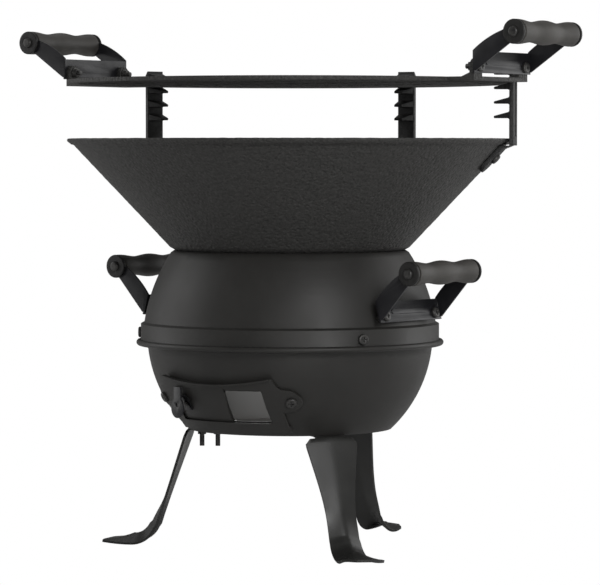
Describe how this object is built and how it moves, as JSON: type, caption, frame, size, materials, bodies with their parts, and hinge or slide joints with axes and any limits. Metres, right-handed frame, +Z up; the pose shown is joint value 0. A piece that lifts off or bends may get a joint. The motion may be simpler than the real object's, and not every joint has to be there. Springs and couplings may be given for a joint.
{
  "type": "fire pit with grate",
  "caption": "Cast-iron fire bowl standing loose in a round vented steel body on legs, with a cooking grate that slides into toothed supports.",
  "frame": {"origin": "on the ground, on the body's vertical axis", "axes": "+Z up, the air vent faces -Y, the body's two handles are at +X and -X"},
  "size_m": [0.612, 0.4507, 0.5183],
  "materials": {
    "body_paint": "matt black heat-proof paint on spun sheet steel",
    "cast_iron": "rough sand-cast iron, blackened",
    "support_iron": "satin black pressed steel",
    "leg_paint": "satin black paint on pressed steel",
    "bracket_paint": "satin black paint on pressed steel",
    "grip": "turned wood with matt black-grey paint",
    "grip_cap": "black disc",
    "fastener": "blackened steel"
  },
  "bodies": {
    "base": {"lower_body": "body_paint", "upper_body": "body_paint", "band_screws": "fastener", "band_nuts": "fastener", "leg_back": "leg_paint", "leg_left": "leg_paint", "leg_right": "leg_paint", "leg_bolts": "fastener", "leg_nuts": "fastener", "vent_frame": "body_paint", "vent_frame_screws": "fastener", "vent_frame_nuts": "fastener", "body_bracket_left": "bracket_paint", "body_bracket_right": "bracket_paint", "body_grip_left": "grip", "body_grip_right": "grip", "body_grip_caps": "grip_cap", "body_grip_rods": "fastener", "body_bracket_screws": "fastener", "body_bracket_nuts": "fastener"},
    "vent_door": {"vent_slider": "body_paint", "vent_tab": "bracket_paint", "vent_tab_rivet": "fastener"},
    "bowl": {"fire_bowl": "cast_iron", "support_left": "support_iron", "support_back": "support_iron", "support_right": "support_iron", "support_screws": "fastener", "support_nuts": "fastener"},
    "fire_grate": {"fire_grate": "cast_iron"},
    "grate": {"cooking_grate": "cast_iron", "grate_bracket_left": "bracket_paint", "grate_bracket_right": "bracket_paint", "grate_grip_left": "grip", "grate_grip_right": "grip", "grate_grip_caps": "grip_cap", "grate_grip_rods": "fastener", "grate_bracket_screws": "fastener", "grate_bracket_nuts": "fastener"}
  },
  "joints": [
    {"name": "vent_slide", "type": "hinge", "parent": "base", "child": "vent_door", "pos_m": [0, 0, 0], "axis": [0, 0, 1], "range_deg": [0, 19]},
    {"name": "bowl_lift", "type": "slide", "parent": "base", "child": "bowl", "axis": [0, 0, 1], "range_m": [0, 0.12]},
    {"name": "fire_grate_lift", "type": "slide", "parent": "bowl", "child": "fire_grate", "axis": [0, 0, 1], "range_m": [0, 0.15]},
    {"name": "grate_slide", "type": "slide", "parent": "bowl", "child": "grate", "axis": [0.0698, -0.9976, 0], "range_m": [0, 0.47]}
  ]
}
